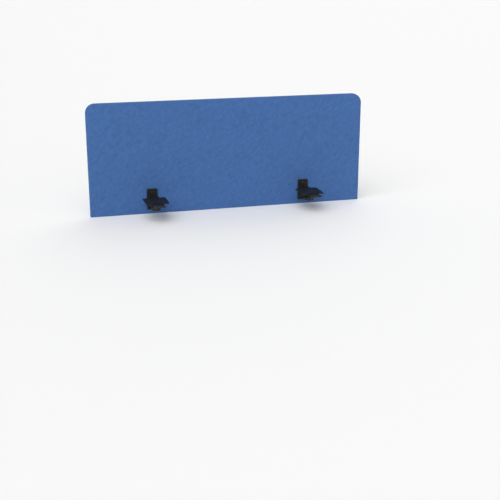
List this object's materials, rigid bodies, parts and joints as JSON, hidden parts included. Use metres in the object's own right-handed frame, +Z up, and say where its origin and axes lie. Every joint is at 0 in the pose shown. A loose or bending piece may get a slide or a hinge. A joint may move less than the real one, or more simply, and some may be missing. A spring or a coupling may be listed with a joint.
{
  "type": "desk privacy panel",
  "caption": "Upholstered screen with rounded top corners, held behind a desktop's rear edge by under-desk steel brackets with clamp knobs.",
  "frame": {"origin": "middle of the desktop's rear edge, on the desktop's underside plane, which the two top plates touch", "axes": "+X along the desk to the right of the person at it, +Y away from that person, +Z up"},
  "size_m": [1.195, 0.212, 0.475],
  "materials": {
    "cloth_blue": "matte",
    "padding": "matte",
    "board": "matte",
    "black_steel": "satin",
    "zinc_steel": "satin",
    "brass": "satin",
    "black_plastic": "matte"
  },
  "bodies": {
    "desk_side": {"top_plate_left": "black_steel", "receiver_left": "black_steel", "weld_nut_left": "zinc_steel", "top_plate_right": "black_steel", "receiver_right": "black_steel", "weld_nut_right": "zinc_steel"},
    "screen": {"core_board": "board", "foam_front": "padding", "foam_back": "padding", "fabric_front": "cloth_blue", "fabric_back": "cloth_blue", "fabric_edge_strip": "cloth_blue", "closing_strip": "black_plastic", "closing_strip_screws": "zinc_steel", "bracket_left": "black_steel", "bracket_bolts_left": "black_steel", "bolt_washers_left": "black_steel", "spacer_bushes_left": "zinc_steel", "threaded_inserts_left": "brass", "arm_end_cap_left": "black_plastic", "bracket_right": "black_steel", "bracket_bolts_right": "black_steel", "bolt_washers_right": "black_steel", "spacer_bushes_right": "zinc_steel", "threaded_inserts_right": "brass", "arm_end_cap_right": "black_plastic"},
    "shoe_left": {"clamp_shoe_left": "zinc_steel"},
    "knob_left": {"clamp_stud_left": "zinc_steel", "star_knob_left": "black_plastic"},
    "shoe_right": {"clamp_shoe_right": "zinc_steel"},
    "knob_right": {"clamp_stud_right": "zinc_steel", "star_knob_right": "black_plastic"}
  },
  "joints": [
    {"name": "screen_depth", "type": "slide", "parent": "desk_side", "child": "screen", "axis": [0, 1, 0], "range_m": [-0.02, 0.03]},
    {"name": "shoe_lift_left", "type": "slide", "parent": "desk_side", "child": "shoe_left", "axis": [0, 0, 1], "range_m": [-0.00125, 0]},
    {"name": "knob_turn_left", "type": "hinge", "parent": "shoe_left", "child": "knob_left", "pos_m": [-0.335, -0.065, -0.02], "axis": [0, 0, 1], "range_deg": [-363.6, 0]},
    {"name": "shoe_lift_right", "type": "slide", "parent": "desk_side", "child": "shoe_right", "axis": [0, 0, 1], "range_m": [-0.00125, 0]},
    {"name": "knob_turn_right", "type": "hinge", "parent": "shoe_right", "child": "knob_right", "pos_m": [0.335, -0.065, -0.02], "axis": [0, 0, 1], "range_deg": [-363.6, 0]}
  ],
  "couplings": [
    {"joint": "knob_turn_left", "follows": "shoe_lift_left", "rad_per_m": 5026.5},
    {"joint": "knob_turn_right", "follows": "shoe_lift_right", "rad_per_m": 5026.5}
  ]
}
